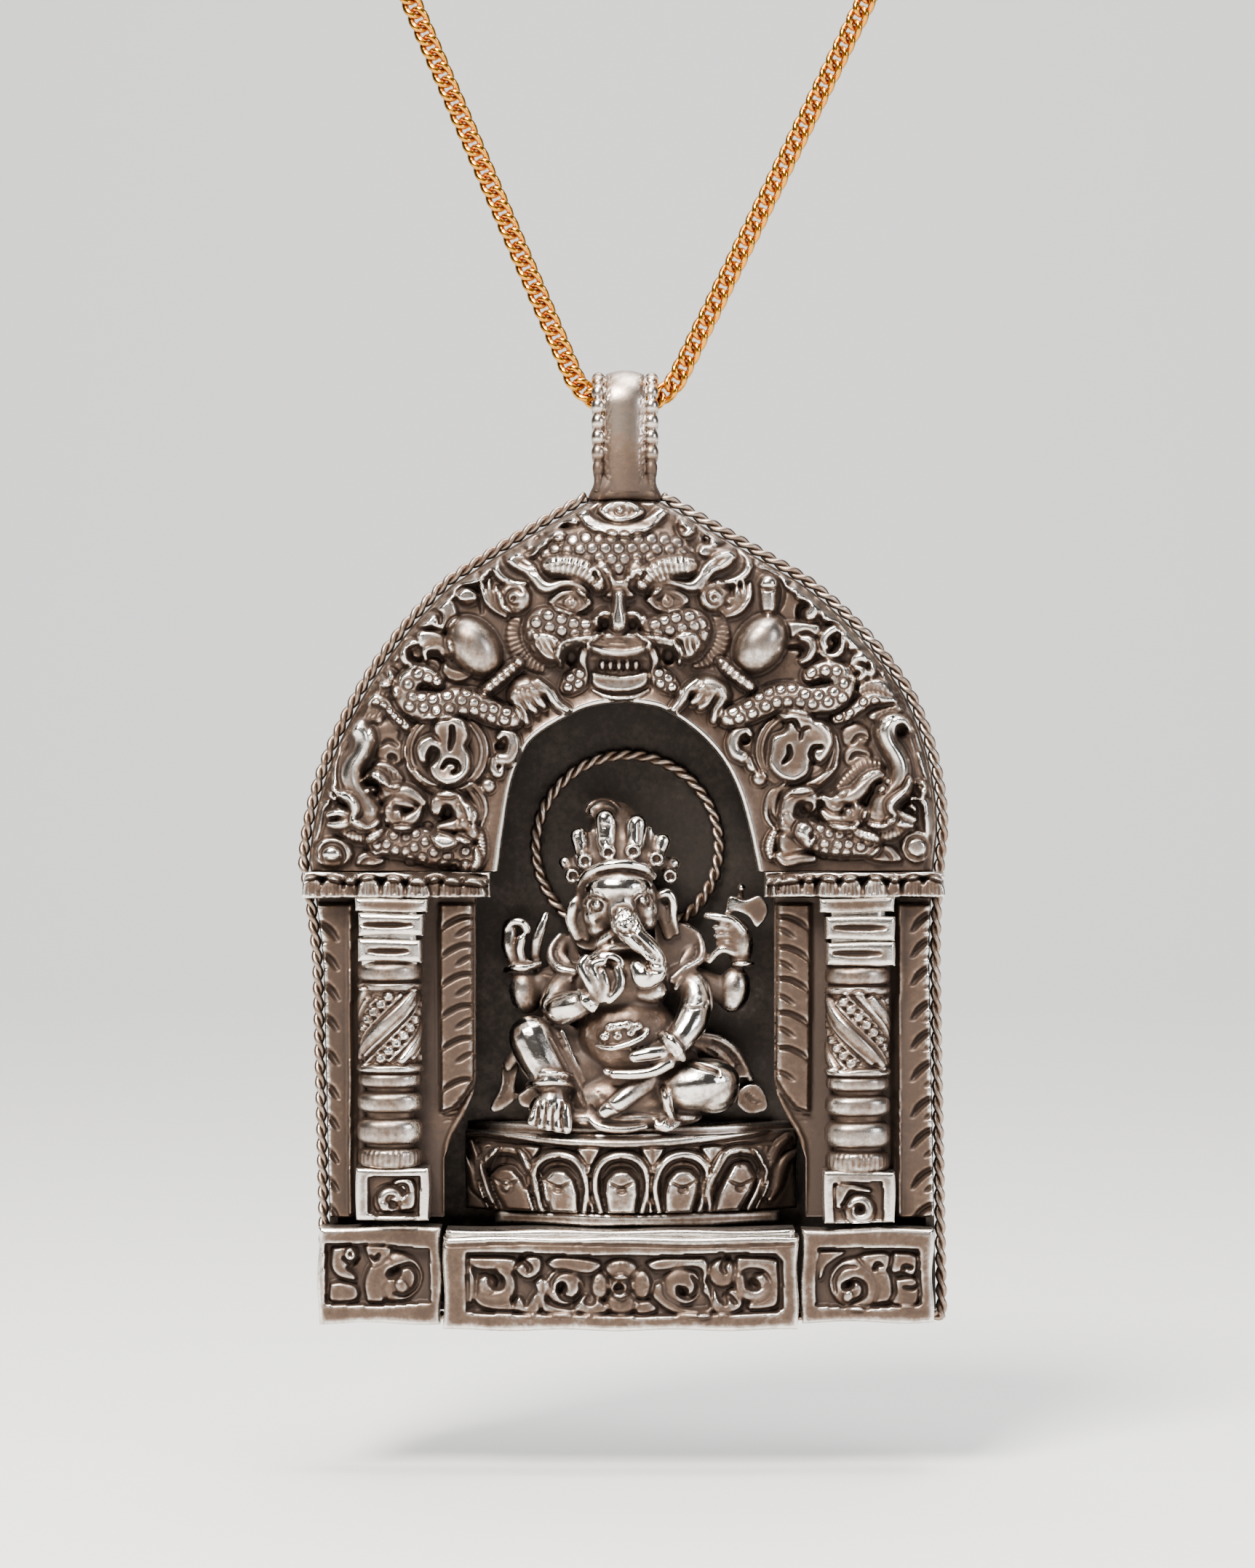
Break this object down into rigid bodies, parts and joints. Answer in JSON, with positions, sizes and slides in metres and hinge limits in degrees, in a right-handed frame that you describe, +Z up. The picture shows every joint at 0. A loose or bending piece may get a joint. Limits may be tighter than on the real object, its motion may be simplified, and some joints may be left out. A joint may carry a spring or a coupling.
{
  "type": "pendant necklace",
  "caption": "Silver shrine pendant with a seated elephant-headed figure in a pillared arch, hanging from its bail on a round woven chain, worn round the neck.",
  "frame": {"origin": "the nape of the chain, where the necklace rests on the back of the neck", "axes": "+Z up, -Y toward the viewer of the pendant's front, X across; the chain lies in the plane Y = 0"},
  "size_m": [0.1238, 0.0114, 0.2767],
  "materials": {
    "cast_silver": "cast silver, polished on the high spots and tarnished brown in the hollows",
    "tarnished_silver": "drawn silver wire and strap with dark tarnish between the beads",
    "blackened_silver": "sheet silver, blackened and speckled",
    "gold_wash": "gold-washed chain, worn to a copper brown on the high spots"
  },
  "bodies": {
    "chain": {"chain": "gold_wash", "clasp": "gold_wash"},
    "pendant": {"case": "blackened_silver", "rope_rim": "tarnished_silver", "arch_frame": "cast_silver", "left_pillar": "cast_silver", "right_pillar": "cast_silver", "left_plinth": "cast_silver", "right_plinth": "cast_silver", "base_panel": "cast_silver", "lotus_throne": "cast_silver", "ganesha_figure": "cast_silver", "halo_ring": "tarnished_silver", "bail": "tarnished_silver"}
  },
  "joints": [
    {"name": "bail_swing", "type": "hinge", "parent": "chain", "child": "pendant", "pos_m": [-0.00534, 0, -0.19866], "axis": [1, 0, 0], "range_deg": [-90, 90]}
  ]
}
